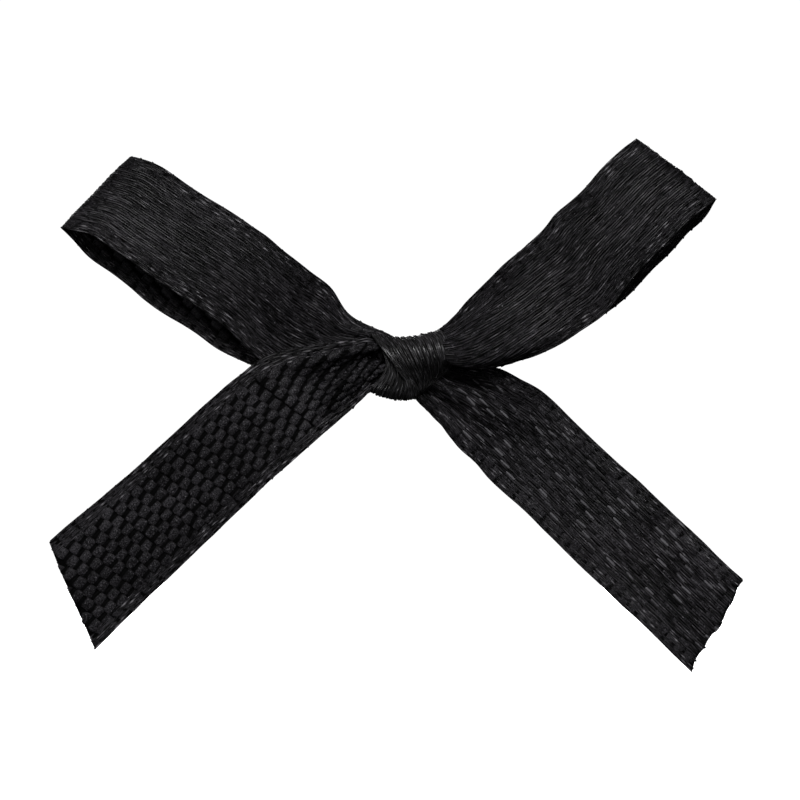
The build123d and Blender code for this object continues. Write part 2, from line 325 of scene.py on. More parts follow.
def weave(name, sheet, mats, seed, cut_lo=None, cut_hi=None, density=5, weft_bulk=1.0, dash=1.0, sense=1, dip_by=1.0, wander=0.0, inside=0.0,
          face_mark=(0.15, 1.15)):
    """Warp, weft and ground of one run. cut_lo and cut_hi trim the ends by v. The face pair is how much darker
    the picks are on the face, and how strong a painted highlight they get where they stand up."""
    rng = np.random.default_rng(seed)
    ends, bp = end_places()
    warp, weft, ground = Builder(), Builder(), Builder()
    step = PICK / density

    def span(v):
        lo, hi = sheet.limits(v)
        if cut_lo is not None:
            lo = lo + cut_lo(v)
        if cut_hi is not None:
            hi = hi - cut_hi(v)
        return lo, hi

    def shrink(pos_v, s):
        """How much narrower the cloth is at a place than when flat, for the yarns' widths."""
        p0, _ = sheet.at(s, np.clip(pos_v - 0.012, 0, 1))
        p1, _ = sheet.at(s, np.clip(pos_v + 0.012, 0, 1))
        flat = (np.clip(pos_v + 0.012, 0, 1) - np.clip(pos_v - 0.012, 0, 1)) * RIBBON_W
        return np.linalg.norm(p1 - p0, axis=-1) / flat

    for k, (v, a, j) in enumerate(ends):
        lo, hi = span(v)
        lo, hi = lo + abs(rng.normal(0, 0.02)), hi - abs(rng.normal(0, 0.03)) + (0.12 if rng.random() < 0.12 else 0)
        s = np.arange(lo, hi, step)
        if len(s) < 4:
            continue

        def drift(every, size):
            k = np.arange(lo - every, hi + 2 * every, every)
            return spline(rng.normal(0, size, (len(k), 1)), k, s)[:, 0]

        lat = drift(1.1, 0.014)
        p, nrm = sheet.at(s, np.full(len(s), v) + lat / RIBBON_W)
        wide = np.clip(shrink(v, s), 0.30, 1.12)
        high = drift(1.7, 0.011) * (0.4 + 0.6 * dip_by)
        # the flat yarn rolls a little from side to side
        side = unit(np.cross(nrm, unit(np.gradient(p, axis=0))))
        roll = drift(1.3, 0.24)
        tilt = unit(nrm + side * roll[:, None])
        if j is None:
            q = s / PICK / 2 + 0.5 * (k % 2) + drift(1.4, 0.16)
            wv = np.sin(2 * np.pi * q)
            h = 0.030 * (0.4 + 0.6 * dip_by) * wv + high
            aa, bb = a * 1.04 * wide * rng.uniform(0.80, 1.05), 0.038
            # selvedge ends: painted shade where the end goes under, painted highlight in random places where it comes
            # up
            painted_shade_glint_vals = (np.clip(-wv, 0, 1) * 0.9 - np.clip(wv, 0, 1) ** 4 * 1.3 * np.clip(drift(0.9, 0.5), 0, 0.8), np.clip(wv, 0, 1) * 0.9 - np.clip(-wv, 0, 1) ** 4 * 1.3 * np.clip(drift(0.9, 0.5), 0, 0.8))
        else:
            base = ((3 if sense > 0 else 2) * j) % 5
            ph = (s / PICK - 0.5 - base) / 5
            d = (ph - np.round(ph)) * 5 * PICK
            dip = np.where(np.abs(d) < 0.52, np.cos(np.pi * d / 1.04) ** 2, 0)
            h = 0.048 - DIP * dip_by * dip - 0.012 * np.cos(2 * np.pi * (ph - np.round(ph))) + high
            aa = a * wide * (1.0 - 0.22 * dip) * rng.uniform(0.80, 1.02)
            bb = 0.042
            # body ends: painted shade in the binding dip on the face; on the reverse, painted shade all over, where the
            # picks cover it
            painted_shade_glint_vals = (dip * 0.8, np.full(len(s), 0.95))
        warp.tube(p + nrm * h[:, None], tilt, aa, bb, sides=8, tag=rng.uniform(0, 1), rough=(rng, 0.05), mark=painted_shade_glint_vals, flank_shade=1.3)

    # picks
    lo_all, hi_all = sheet.limits(np.linspace(0, 1, 61))
    p0, p1 = int(np.floor(lo_all.min() / PICK)) - 1, int(np.ceil(hi_all.max() / PICK)) + 1
    rel = np.array([0, 0.035, 0.075, 0.12, 0.165, 0.22, 0.29, 0.369])
    for p in range(p0, p1):
        sc = (p + 0.5) * PICK
        j0 = ((2 if sense > 0 else 3) * p) % 5
        xs, ups, painted_hollow_shade_and_tone, painted_glints = [], [], [], []
        for r in range(-1, BODY_ENDS // 5 + 2):
            c = SELV_W + (j0 + 5 * r + 0.5) * bp
            # strength of the painted highlight on this brick's crest
            painted_glint_strength = rng.uniform(0.12, 1.0) ** 1.9
            deep, base = rng.uniform(0.80, 1.12), rng.uniform(0.0, 0.30)
            for q in np.concatenate([-rel[::-1][:-1], rel]):
                xx = c + q
                if SELV_W - 0.02 < xx < RIBBON_W - SELV_W + 0.02:
                    xs.append(xx)
                    g = np.exp(-(q / GAP) ** 2)
                    crown = 1 - (abs(q) / 0.369 - 1) ** 2
                    narrow = np.exp(-(q / 0.056) ** 2)
                    # painted shade in the hollow beside each brick and at its edges, with a random darker tone on one
                    # side; painted highlight on the narrow crest
                    painted_hollow_shade_and_tone.append(deep * np.exp(-(q / 0.140) ** 4) + 0.14 * (1 - crown) + base * (q > -0.3))
                    painted_glints.append(painted_glint_strength * np.exp(-(q / 0.038) ** 2))
                    ups.append(DASH * dash * narrow - (0.050 + 0.030 * crown) * (1 - g))
        o = np.argsort(xs)
        xs, ups, painted_hollow_shade_and_tone, painted_glints = (np.array(q)[o] for q in (xs, ups, painted_hollow_shade_and_tone, painted_glints))
        sx = np.linspace(0.03, SELV_W - 0.03, 12)
        su = 0.012 * np.cos(2 * np.pi * (sx - sx[-1]) / (2 * SELV_W / SELV_ENDS) + p * np.pi)
        xs = np.concatenate([sx, xs, RIBBON_W - sx[::-1]])
        ups = np.concatenate([su, ups, su[::-1]])
        # selvedge picks: light painted shade on the reverse, no painted highlight
        painted_hollow_shade_and_tone = np.concatenate([su * 0 + 0.3, painted_hollow_shade_and_tone, su * 0 + 0.3])
        painted_glints = np.concatenate([su * 0, painted_glints, su * 0])
        keep = np.concatenate([[True], np.diff(xs) > 0.012])
        xs, ups, painted_hollow_shade_and_tone, painted_glints = xs[keep], ups[keep], painted_hollow_shade_and_tone[keep], painted_glints[keep]
        v = xs / RIBBON_W
        jit = rng.normal(0, 0.020 + 0.014 * wander)
        s = np.full(len(v), sc + jit) + np.interp(v, np.linspace(0, 1, 15), rng.normal(0, 0.020 + 0.022 * wander, 15))
        lo, hi = span(v)
        room = np.minimum(s - lo, hi - s)
        ok = room > 0.05
        if ok.sum() < 4:
            continue
        idx = np.flatnonzero(ok)
        runs = np.split(idx, np.flatnonzero(np.diff(idx) > 1) + 1)
        for run in runs:
            if len(run) < 4:
                continue
            pt, nrm = sheet.at(s[run], v[run])
            wd = np.minimum(WEFT_HALF * rng.uniform(0.95, 1.05), np.maximum(room[run], 0.05))
            near = np.minimum(v[run], 1 - v[run]) * RIBBON_W
            inner = np.clip((near - 0.10) / SELV_W, 0, 1)
            wd = wd * (0.55 + 0.45 * inner)
            thick = 0.060 * weft_bulk * rng.uniform(0.92, 1.08) * (0.36 + 0.64 * inner ** 2)
            loose = np.clip((shrink(v[run], s[run]) - 0.25) / 0.5, 0.15, 1)      # flattened where the cloth is gathered
            thick = thick * (0.35 + 0.65 * loose)
            free = np.clip((shrink(v[run], s[run]) - 0.60) / 0.32, 0, 1)
            up = ups[run] * np.where(ups[run] > 0, loose, 0.30 + 0.70 * free)
            # face: picks darkened towards the warp's tone, with a painted highlight where they stand up; reverse:
            # painted shade in the hollows, fading where the cloth is gathered, less a painted light lift on the loops'
            # inner faces
            weft.tube(pt + nrm * up[:, None], nrm, wd, thick, sides=12, tag=rng.uniform(0, 1), power=0.62,
                      rough=(rng, 0.07), flank_shade=0.5, mark=(face_mark[0] - face_mark[1] * painted_glints[run] * loose, painted_hollow_shade_and_tone[run] * (0.12 + 0.88 * free) - inside))

    # ground: a thin sheet within the cloth; its near-black colour is painted shade, seen in the gaps between the yarns
    gv = np.linspace(0.006, 0.994, 25)
    lo, hi = span(gv)
    lo, hi = lo + 0.03, hi - 0.03
    m = max(int((hi - lo).max() / 0.22), 8)
    tt = np.linspace(0, 1, m)[:, None]
    ss = lo[None] * (1 - tt) + hi[None] * tt
    pt, nrm = sheet.at(ss, np.broadcast_to(gv[None], ss.shape))
    ground.shell(pt + nrm * 0.004, pt - nrm * 0.012)
    made = [warp.object(name + "_warp", mats[0]), ground.object(name + "_ground", mats[2])]
    if weft_bulk > 0:
        made.append(weft.object(name + "_weft", mats[1]))
    return made


# ---------------------------------------------------------------- materials
def nodes_of(name):
    m = bpy.data.materials.new(name)
    m.use_nodes = True
    nt = m.node_tree
    nt.nodes.clear()
    out = nt.nodes.new("ShaderNodeOutputMaterial")
    bs = nt.nodes.new("ShaderNodeBsdfPrincipled")
    nt.links.new(bs.outputs[0], out.inputs[0])
    return m, nt, bs


def satin(name, dark, light, painted_glint_colour, rough_lo, rough_hi, spec, sheen, bump, stretch, painted_speck_range=(0.64, 0.76)):
    """Black filament yarn: colour, roughness and a fine filament relief all follow the yarn. The colour also
    carries painted shade in hollows and painted highlights and specks, read from a per-vertex attribute.
    """
    m, nt, bs = nodes_of(name)
    N, L = nt.nodes.new, nt.links.new
    at = N("ShaderNodeAttribute")
    at.attribute_name = "yarn"
    sep = N("ShaderNodeSeparateXYZ")
    L(at.outputs["Vector"], sep.inputs[0])
    comb = N("ShaderNodeCombineXYZ")
    for i, k in enumerate(stretch):
        mul = N("ShaderNodeMath")
        mul.operation = "MULTIPLY"
        mul.inputs[1].default_value = k
        L(sep.outputs[i], mul.inputs[0])
        L(mul.outputs[0], comb.inputs[i])
    fil = N("ShaderNodeTexNoise")
    fil.inputs["Scale"].default_value = 1.0
    fil.inputs["Detail"].default_value = 3.0
    L(comb.outputs[0], fil.inputs["Vector"])
    tc = N("ShaderNodeTexCoord")
    big = N("ShaderNodeTexNoise")
    big.inputs["Scale"].default_value = 420.0
    big.inputs["Detail"].default_value = 2.0
    L(tc.outputs["Object"], big.inputs["Vector"])
    part = N("ShaderNodeMath")
    part.operation = "MULTIPLY"
    part.inputs[1].default_value = 0.30
    L(big.outputs["Fac"], part.inputs[0])
    add = N("ShaderNodeMath")
    add.operation = "ADD"
    L(fil.outputs["Fac"], add.inputs[0])
    L(part.outputs[0], add.inputs[1])
    ramp = N("ShaderNodeMapRange")
    ramp.inputs["From Min"].default_value = 0.56
    ramp.inputs["From Max"].default_value = 0.84
    L(add.outputs[0], ramp.inputs["Value"])
    mix = N("ShaderNodeMix")
    mix.data_type = "RGBA"
    mix.inputs["A"].default_value = (*dark, 1)
    mix.inputs["B"].default_value = (*light, 1)
    L(ramp.outputs["Result"], mix.inputs["Factor"])
    # painted shade: the colour is multiplied down where the per-vertex attribute is high, in hollows, binding dips and
    # on yarn sides
    mk = N("ShaderNodeAttribute")
    mk.attribute_name = "mark"
    keep = N("ShaderNodeMapRange")
    keep.inputs["From Min"].default_value = 0.1
    keep.inputs["From Max"].default_value = 0.9
    keep.inputs["To Min"].default_value = 1.0
    keep.inputs["To Max"].default_value = 0.03
    L(mk.outputs["Fac"], keep.inputs["Value"])
    painted_shade_mul = N("ShaderNodeMix")
    painted_shade_mul.data_type, painted_shade_mul.blend_type = "RGBA", "MULTIPLY"
    painted_shade_mul.inputs["Factor"].default_value = 1.0
    L(mix.outputs["Result"], painted_shade_mul.inputs["A"])
    L(keep.outputs["Result"], painted_shade_mul.inputs["B"])
    # painted highlight: the colour is mixed towards the highlight colour where the attribute is negative
    painted_glint_ramp = N("ShaderNodeMapRange")
    painted_glint_ramp.inputs["From Min"].default_value = -0.05
    painted_glint_ramp.inputs["From Max"].default_value = -1.0
    L(mk.outputs["Fac"], painted_glint_ramp.inputs["Value"])
    painted_glint_mix = N("ShaderNodeMix")
    painted_glint_mix.data_type = "RGBA"
    painted_glint_mix.inputs["B"].default_value = (*painted_glint_colour, 1)
    L(painted_glint_ramp.outputs["Result"], painted_glint_mix.inputs["Factor"])
    L(painted_shade_mul.outputs["Result"], painted_glint_mix.inputs["A"])
    # painted highlight specks: highlight colour where the filament noise peaks, away from the painted-shade hollows
    tip = N("ShaderNodeMapRange")
    tip.inputs["From Min"].default_value, tip.inputs["From Max"].default_value = painted_speck_range
    L(fil.outputs["Fac"], tip.inputs["Value"])
    open_ = N("ShaderNodeMapRange")
    open_.inputs["From Min"].default_value = 0.65
    open_.inputs["From Max"].default_value = 0.35
    L(mk.outputs["Fac"], open_.inputs["Value"])
    both = N("ShaderNodeMath")
    both.operation = "MULTIPLY"
    L(tip.outputs["Result"], both.inputs[0])
    L(open_.outputs["Result"], both.inputs[1])
    painted_speck_mix = N("ShaderNodeMix")
    painted_speck_mix.data_type = "RGBA"
    painted_speck_mix.inputs["B"].default_value = (*painted_glint_colour, 1)
    L(both.outputs[0], painted_speck_mix.inputs["Factor"])
    L(painted_glint_mix.outputs["Result"], painted_speck_mix.inputs["A"])
    L(painted_speck_mix.outputs["Result"], bs.inputs["Base Color"])
    rr = N("ShaderNodeMapRange")
    rr.inputs["From Min"].default_value = 0.3
    rr.inputs["From Max"].default_value = 0.7
    rr.inputs["To Min"].default_value = rough_lo
    rr.inputs["To Max"].default_value = rough_hi
    L(fil.outputs["Fac"], rr.inputs["Value"])
    matt = N("ShaderNodeMix")
    matt.data_type = "FLOAT"
    matt.inputs["B"].default_value = 1.0
    hollow = N("ShaderNodeMapRange")
    hollow.inputs["From Min"].default_value = 0.1
    hollow.inputs["From Max"].default_value = 0.9
    L(mk.outputs["Fac"], hollow.inputs["Value"])
    L(hollow.outputs["Result"], matt.inputs["Factor"])
    L(rr.outputs["Result"], matt.inputs["A"])
    L(matt.outputs["Result"], bs.inputs["Roughness"])
    bp = N("ShaderNodeBump")
    bp.inputs["Strength"].default_value = bump
    bp.inputs["Distance"].default_value = 0.00002
    L(fil.outputs["Fac"], bp.inputs["Height"])
    L(bp.outputs["Normal"], bs.inputs["Normal"])
    bs.inputs["Specular IOR Level"].default_value = spec
    bs.inputs["Sheen Weight"].default_value = sheen
    bs.inputs["Sheen Roughness"].default_value = 0.5
    return m


# the third colour of each material is the painted highlight colour
MAT_WARP = satin("satin_warp", (0.0008, 0.0008, 0.0010), (0.0500, 0.0470, 0.0530), (0.240, 0.232, 0.248),
                 0.26, 0.50, 0.17, 0.0, 1.0, (1.6, 0.9, 60.0))
MAT_KNOT = satin("satin_knot", (0.0008, 0.0008, 0.0010), (0.0700, 0.0670, 0.0730), (0.160, 0.156, 0.166),
                 0.17, 0.38, 0.55, 0.0, 1.0, (1.8, 0.9, 60.0), (0.60, 0.72))
MAT_WEFT = satin("satin_weft", (0.0030, 0.0028, 0.0034), (0.0580, 0.0550, 0.0620), (0.172, 0.168, 0.180),
                 0.38, 0.60, 0.10, 0.0, 1.0, (15.0, 6.0, 60.0))
# the ground's near-black colour is painted shade for what shows between the yarns
MAT_GROUND_SHADE = satin("ground_painted_shade", (0.0008, 0.0008, 0.0009), (0.0016, 0.0016, 0.0018), (0.01, 0.01, 0.01),
                   0.85, 0.95, 0.05, 0.0, 0.3, (1.0, 1.0, 1.0))
MATS = (MAT_WARP, MAT_WEFT, MAT_GROUND_SHADE)
KNOT_MATS = (MAT_KNOT, MAT_WEFT, MAT_GROUND_SHADE)


# =====================================================================
# The runs
# =====================================================================
def fold_profile(*terms):
    """A sum of (height, centre, width) bumps."""
    def f(x):
        return sum(h * np.exp(-((x - c) / w) ** 2) for h, c, w in terms)
    return f


def pleats(n, phase=0.0, skew=0.0):
    def f(x):
        y = x + skew * x * (1 - x)
        return np.sin(2 * np.pi * (n * y + phase)) * np.sin(np.pi * np.clip(x, 0, 1)) ** 0.5
    return f


def loop(front_top, front_low, back_top, back_low, corner_top, corner_low, fold_r, fold_f, front_tab, back_tab,
         neck_front, neck_back, w_front, w_back, n=34, bulge=0.10):
    """Edges and fold weights of a loop: out along the front leaf, round the fold, back behind.
    front_* and back_* run from the fold's corner to the knot."""
    p0, p1 = np.array(corner_top), np.array(corner_low)
    d = (p1 - p0) / np.linalg.norm(p1 - p0)
    inward = np.array([-d[1], d[0]])
    if np.dot(inward, -(p0 + p1) / 2) < 0:
        inward = -inward

    def leaf(top, low, tab, neck):
        T, Lo = edge(top, n), edge(low, n)
        rows = []
        for e, q in ((T, 0), (Lo, 1)):
            dist = np.maximum((e - p0) @ inward, fold_r)
            f = table(tab, dist)
            t = np.linspace(0, 1, n)
            blend_in = np.clip((t - 0.62) / 0.38, 0, 1)
            blend_in = blend_in * blend_in * (3 - 2 * blend_in)
            f = f * (1 - blend_in) + neck[q] * blend_in
            rows.append(np.column_stack([e, f]))
        return rows

    ft, fl = leaf(front_top, front_low, front_tab, neck_front)
    bt, bl = leaf(back_top, back_low, back_tab, neck_back)
    th = np.linspace(0, np.pi, 13)

    def turn(p, to_front, to_back):
        """Round the fold, sliding along the leaf's own edge."""
        c = []
        for t in th:
            q = np.array(to_front if t < math.pi / 2 else to_back, float) - p
            q = q / max(np.dot(q, inward), 0.2)
            c.append(p - inward * bulge + q * fold_r * (1 - math.sin(t)))
        return np.column_stack([c, fold_f + fold_r * np.cos(th)])

    def clear(e, p):
        return (e[:2] - p) @ inward > fold_r * 1.35

    keep_f = [i for i in range(n) if clear(ft[i], p0) and clear(fl[i], p1)]
    keep_b = [i for i in range(n) if clear(bt[i], p0) and clear(bl[i], p1)]
    A = np.concatenate([ft[keep_f][::-1], turn(p0, front_top[1], back_top[1]), bt[keep_b]])
    B = np.concatenate([fl[keep_f][::-1], turn(p1, front_low[2], back_low[2]), bl[keep_b]])
    k = len(w_front(0.0))
    W = np.array([w_front(i / (n - 1)) for i in keep_f[::-1]] + [[0.0] * k] * len(th)
                 + [w_back(i / (n - 1)) for i in keep_b])
    return A, B, W


def ramp_in(t, t0, t1):
    u = min(max((t - t0) / (t1 - t0), 0.0), 1.0)
    return u * u * (3 - 2 * u)


# ---- left loop
LL_TOP = [(-16.64, 12.20), (-15.04, 11.72), (-13.79, 10.89), (-12.31, 9.89), (-10.06, 8.52), (-8.52, 7.40), (-7.04, 6.22),
          (-5.68, 5.15), (-4.91, 4.60), (-4.44, 3.97), (-4.03, 3.22), (-3.26, 2.55), (-2.49, 2.20), (-1.70, 1.85), (-0.9, 1.45)]
LL_LOW = [(-20.78, 7.96), (-19.71, 7.93), (-18.83, 7.55), (-17.88, 6.88), (-17.17, 6.40), (-16.40, 5.90), (-14.74, 4.68),
          (-12.91, 3.49), (-10.77, 1.90), (-9.29, 0.45), (-8.00, -0.45), (-6.80, -0.88), (-5.60, -0.82), (-4.50, -0.35),
          (-3.40, 0.25), (-2.20, 0.50), (-1.3, 0.35)]
LB_TOP = [(-16.64, 12.20), (-15.60, 10.75), (-13.70, 9.45), (-11.40, 7.90), (-9.20, 6.35), (-7.10, 4.75), (-5.40, 3.55),
          (-4.10, 2.65), (-3.00, 2.15), (-2.00, 1.70), (-1.0, 1.35)]
LB_LOW = [(-20.78, 7.93), (-20.19, 7.10), (-19.12, 6.22), (-18.06, 5.45), (-16.99, 4.68), (-15.92, 3.72), (-14.74, 2.90),
          (-13.38, 2.13), (-12.49, 1.48), (-11.84, 0.98), (-10.77, 0.41), (-9.83, 0.00), (-8.40, -0.60), (-6.90, -0.75),
          (-5.30, -0.25), (-4.10, 0.35), (-3.10, 0.75), (-2.10, 0.65), (-1.1, 0.4)]
LFF = [(0.85, 2.75), (2.5, 2.98), (5.5, 3.15), (9.0, 3.12), (12.5, 2.78), (15.2, 2.20), (18.5, 1.90), (24.0, 1.90)]
LBF = [(0.85, 1.05), (2.5, 0.82), (5.5, 0.66), (9.0, 0.66), (12.5, 0.86), (15.2, 1.28), (18.5, 1.50), (24.0, 1.50)]

left_gather = fold_profile((1.0, 0.22, 0.13), (-0.7, 0.50, 0.13), (0.8, 0.78, 0.12))
soft_dish = fold_profile((1.0, 0.45, 0.32))
fine = pleats(4, 0.1, 0.3)
A, B, W = loop(LL_TOP, LL_LOW, LB_TOP, LB_LOW, (-16.64, 12.20), (-20.78, 7.96), 0.85, 1.90, LFF, LBF,
               (2.25, 2.35), (1.35, 1.45),
               lambda t: [0.8 * ramp_in(t, 0.62, 0.85), 0.25 * ramp_in(t, 0.45, 0.7) * (1 - ramp_in(t, 0.75, 0.95)), 0.20 * ramp_in(t, 0.72, 0.95)],
               lambda t: [0.8 * ramp_in(t, 0.62, 0.85), 0.0, 0.4 * ramp_in(t, 0.72, 0.95)])
left_loop = Sheet(A, B, W, [left_gather, soft_dish, fine], 0.25, (0, 0, 1), 0.26, seed=11, n=560, skew=-2.0)

# ---- right loop
RL_TOP = [(13.20, 13.20), (12.14, 12.37), (11.07, 11.37), (10.18, 10.30), (9.00, 9.24), (8.35, 8.66), (7.93, 8.05), (6.87, 7.10),
          (5.68, 6.04), (4.44, 4.85), (3.26, 3.67), (2.49, 2.80), (1.72, 2.13), (0.9, 1.6)]
RL_LOW = [(17.94, 9.60), (17.35, 9.20), (16.35, 8.40), (15.25, 7.30), (14.20, 6.30), (13.40, 5.45), (12.60, 4.45), (11.37, 2.90), (10.00, 1.95),
          (8.82, 1.12), (7.46, 0.47), (6.28, 0.10), (5.33, -0.22), (4.40, -0.35), (3.43, -0.32), (2.25, -0.02), (1.3, 0.2)]
RB_TOP = [(13.20, 13.20), (12.60, 12.00), (11.60, 10.70), (10.30, 9.40), (8.90, 8.10), (7.40, 6.75), (5.90, 5.30),
          (4.50, 3.95), (3.40, 2.95), (2.40, 2.20), (1.3, 1.6)]
RB_LOW = [(17.94, 9.60), (17.90, 9.00), (17.40, 8.52), (16.52, 7.87), (15.63, 6.81), (14.39, 5.68), (12.95, 4.08), (11.35, 2.85), (10.00, 2.10),
          (8.80, 1.50), (7.40, 1.00), (6.10, 0.60), (4.90, 0.25), (3.70, 0.15), (2.60, 0.25), (1.5, 0.4)]
RFF = [(0.75, 3.40), (2.5, 3.58), (5.5, 3.70), (9.0, 3.66), (12.5, 3.46), (15.0, 3.22), (18.5, 3.14), (24.0, 3.14)]
RBF = [(0.75, 1.90), (2.5, 1.74), (5.5, 1.66), (9.0, 1.74), (12.5, 2.08), (15.0, 2.46), (18.5, 2.56), (24.0, 2.56)]

def channel(x):
    """A gutter whose roof faces forward: a steep panel above, a sharp turn below."""
    up = 1 / (1 + np.exp(-(x - 0.27) / 0.055))
    down = 1 / (1 + np.exp((x - 0.93) / 0.020))
    return up * down
A, B, W = loop(RL_TOP, RL_LOW, RB_TOP, RB_LOW, (13.20, 13.20), (17.94, 9.60), 0.75, 2.65, RFF, RBF,
               (1.50, 1.50), (1.5, 1.5),
               lambda t: [1.0 * ramp_in(t, 0.45, 0.80), 0.0, 0.06 * ramp_in(t, 0.75, 0.98)],
               lambda t: [0.3 * ramp_in(t, 0.6, 0.85), 0.0, 0.5 * ramp_in(t, 0.7, 0.95)])
right_loop = Sheet(A, B, W, [channel, soft_dish, fine], 0.25, (0, 0, 1), 1.75, seed=23, n=560)

# ---- left tail
LT_TOP = [(-0.70, 1.20), (-1.50, 1.35), (-2.25, 1.48), (-3.35, 1.36), (-4.50, 1.22), (-6.33, 0.95), (-8.11, 0.55), (-9.00, 0.14), (-9.77, -0.40), (-10.54, -1.03),
          (-13.56, -3.70), (-16.58, -6.45), (-19.60, -8.96), (-21.52, -10.60)]
LT_LOW = [(-0.90, -1.00), (-1.80, -1.38), (-2.50, -1.68), (-3.10, -2.32), (-4.46, -3.52), (-5.94, -4.80), (-8.96, -7.52), (-11.56, -10.00), (-13.52, -11.89),
          (-16.56, -14.76), (-18.78, -17.00)]
LTF = [(-2.5, 2.20), (-1.0, 2.70), (0.0, 3.00), (2.0, 3.38), (5.0, 3.78), (9.0, 3.62), (14.0, 3.12), (19.0, 2.82), (27.0, 2.70)]
RT_TOP = [(0.60, 0.40), (1.50, 0.22), (2.60, 0.05), (3.90, -0.10), (5.33, -0.36), (6.57, -1.03), (7.76, -1.66), (8.37, -2.19), (9.05, -2.86), (9.95, -3.75),
          (11.01, -4.74), (12.08, -5.78), (13.27, -6.82), (14.82, -8.27), (16.31, -9.67), (17.86, -11.18), (19.82, -13.00)]
RT_LOW = [(-0.60, -1.20), (-0.10, -1.75), (0.36, -2.30), (1.00, -2.95), (1.72, -3.67), (2.60, -4.85), (3.67, -5.85), (4.44, -6.72), (5.33, -7.58), (6.57, -8.66),
          (8.68, -10.76), (10.92, -12.95), (13.18, -15.03), (14.74, -16.58), (16.60, -18.36)]
RTF = [(-2.5, 1.80), (-1.0, 1.75), (0.0, 1.70), (2.0, 1.40), (5.0, 1.02), (9.0, 0.98), (14.0, 1.38), (19.0, 1.80), (28.0, 2.05)]


def tail(top, low, flex, run, tab, weights, n=40, edge_drop=(0.0, 0.0)):
    T, Lo = edge(top, n), edge(low, n)
    rows = []
    for e, drop in ((T, edge_drop[0]), (Lo, edge_drop[1])):
        f = table(tab, (e - np.array(flex)) @ np.array(run))
        t = np.linspace(0, 1, n)
        rows.append(np.column_stack([e, f + drop * (1 - np.clip(t / 0.35, 0, 1)) ** 2]))
    W = np.array([weights(i / (n - 1)) for i in range(n)])
    return rows[0], rows[1], W


left_root = fold_profile((0.10, 0.03, 0.05), (-1.00, 0.17, 0.085), (0.75, 0.37, 0.11), (-0.35, 0.60, 0.13), (0.35, 0.83, 0.10))
A, B, W = tail(LT_TOP, LT_LOW, (-3.30, -0.40), (-0.957, -0.289), LTF,
               lambda t: [1.0 * (1 - ramp_in(t, 0.10, 0.42)), 0.16 * (1 - ramp_in(t, 0.12, 0.34))])
A[:, 2] -= 0.10 * np.exp(-(np.arange(len(A)) / 6.0) ** 2)
B[:, 2] -= 0.45 * np.exp(-(np.arange(len(A)) / 6.0) ** 2)
left_tail = Sheet(A, B, W, [left_root, pleats(13, 0.2)], 0.6, (0, 0, -1), 0.42, seed=37, n=420, skew=3.7)

right_root = fold_profile((0.8, 0.16, 0.09), (-0.7, 0.33, 0.08), (0.9, 0.52, 0.10), (-0.6, 0.72, 0.08), (0.7, 0.90, 0.07))
A, B, W = tail(RT_TOP, RT_LOW, (1.95, -1.65), (0.723, -0.691), RTF,
               lambda t: [1.0 * (1 - ramp_in(t, 0.08, 0.42)), 0.2 * (1 - ramp_in(t, 0.0, 0.14))])
right_tail = Sheet(A, B, W, [right_root, pleats(4, 0.3)], 0.6, (0, 0, 1), 0.40, seed=41, n=420, skew=1.5)

# ---- knot: the band starts low on the left, goes under and up the back, over the top, and comes
# down the front to the lower right, where it dives in
BAND = [                                                   # edge, edge, lift between them
    ((-2.10, 1.55, 2.30), (-1.20, 0.60, 2.85), (0, 0, 0.0)),
    ((-1.72, 0.62, 2.95), (-0.45, -0.40, 3.12), (0, 0, 0.0)),
    ((-1.55, 0.02, 3.12), (0.02, -1.00, 3.15), (0, 0, 0.05)),
    ((-1.68, -0.55, 3.12), (0.20, -1.38, 3.05), (0, 0, 0.10)),
    ((-2.06, -1.08, 2.98), (0.28, -1.72, 2.80), (0, 0, 0.15)),
    ((-2.44, -1.50, 2.60), (0.28, -2.02, 2.42), (0, -0.06, 0.15)),
    ((-2.50, -1.70, 2.05), (0.26, -2.12, 1.95), (0, -0.16, 0.0)),
    ((-2.30, -1.62, 1.40), (0.30, -1.98, 1.35), (0, -0.12, -0.1)),
    ((-2.10, -1.30, 0.72), (0.60, -1.65, 0.70), (0, 0, -0.15)),
    ((-1.98, -0.72, 0.32), (1.05, -1.00, 0.32), (0, 0, -0.12)),
    ((-1.95, 0.00, 0.24), (1.50, -0.20, 0.24), (0, 0, -0.10)),
    ((-1.98, 0.70, 0.28), (1.65, 0.60, 0.28), (0, 0, -0.10)),
    ((-2.10, 1.22, 0.60), (1.62, 1.25, 0.58), (0, -0.06, -0.10)),
    ((-2.22, 1.56, 1.15), (1.55, 1.70, 1.05), (0, -0.24, 0)),
    ((-2.36, 1.76, 1.80), (1.56, 1.94, 1.62), (0, -0.38, 0)),
    ((-2.42, 1.80, 2.45), (1.66, 1.94, 2.20), (0, -0.38, 0.05)),
    ((-2.20, 1.42, 3.06), (1.92, 1.74, 2.70), (0, -0.22, 0.15)),
    ((-1.88, 0.98, 3.46), (2.12, 1.34, 3.06), (0, 0, 0.22)),
    ((-1.52, 0.50, 3.68), (2.26, 0.84, 3.30), (0, 0, 0.26)),
    ((-1.16, 0.00, 3.76), (2.34, 0.32, 3.16), (0, 0, 0.26)),
    ((-0.82, -0.48, 3.64), (2.34, -0.10, 2.62), (0, -0.05, 0.12)),
    ((-0.48, -0.96, 3.38), (2.22, -0.34, 2.20), (0, -0.10, 0.02)),
    ((-0.20, -1.36, 3.06), (1.96, -0.62, 1.96), (0, -0.10, -0.04)),
    ((0.02, -1.70, 2.84), (1.62, -0.92, 1.92), (0, -0.05, 0)),
    ((0.16, -1.94, 2.36), (1.30, -1.20, 1.62), (0, 0, 0)),
    ((0.20, -2.04, 1.86), (1.10, -1.40, 1.36), (0, 0, 0)),
]
A, B, lift = (np.array([r[q] for r in BAND], float) for q in (0, 1, 2))
W = np.full((len(BAND), 1), 1.0)
